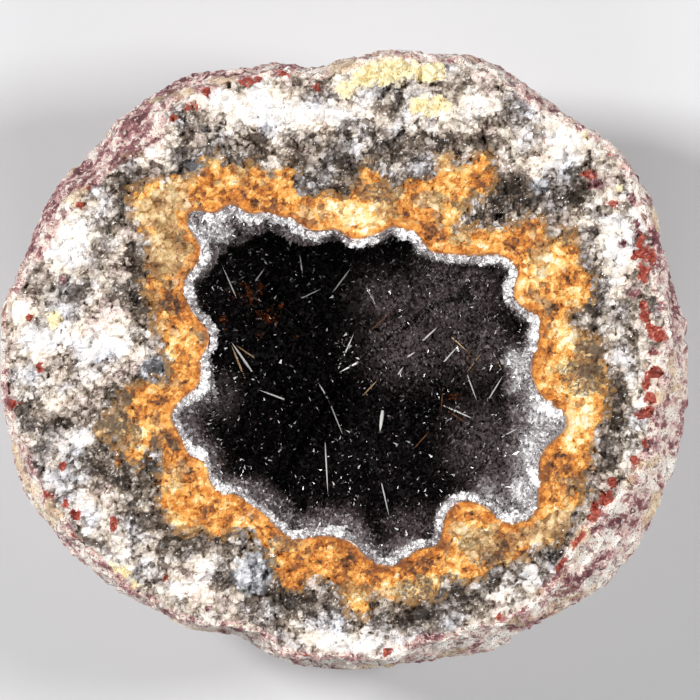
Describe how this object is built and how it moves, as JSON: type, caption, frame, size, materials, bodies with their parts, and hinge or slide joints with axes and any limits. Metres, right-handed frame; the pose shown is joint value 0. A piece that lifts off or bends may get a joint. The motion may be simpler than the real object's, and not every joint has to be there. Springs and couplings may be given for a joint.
{
  "type": "goethite in quartz",
  "caption": "Half of a quartz geode lying on its back: lumpy rind, flat cut face and a scalloped hollow lined with a crust of quartz points and goethite needles.",
  "frame": {"origin": "on the resting surface, under the middle of the stone's outline", "axes": "+Z out of the cut face, straight up; +X to the right and +Y to the top of the stone as its cut face is seen from above"},
  "size_m": [0.092, 0.083, 0.043],
  "materials": {
    "rock": "granular quartz and orange goethite on the cut face, rough mauve and cream rind outside",
    "druse": "glossy dark smoky quartz points with a white sugary rim and bronze needles"
  },
  "bodies": {
    "root": {"geode_shell": "rock", "crystal_crust": "druse"}
  },
  "joints": []
}
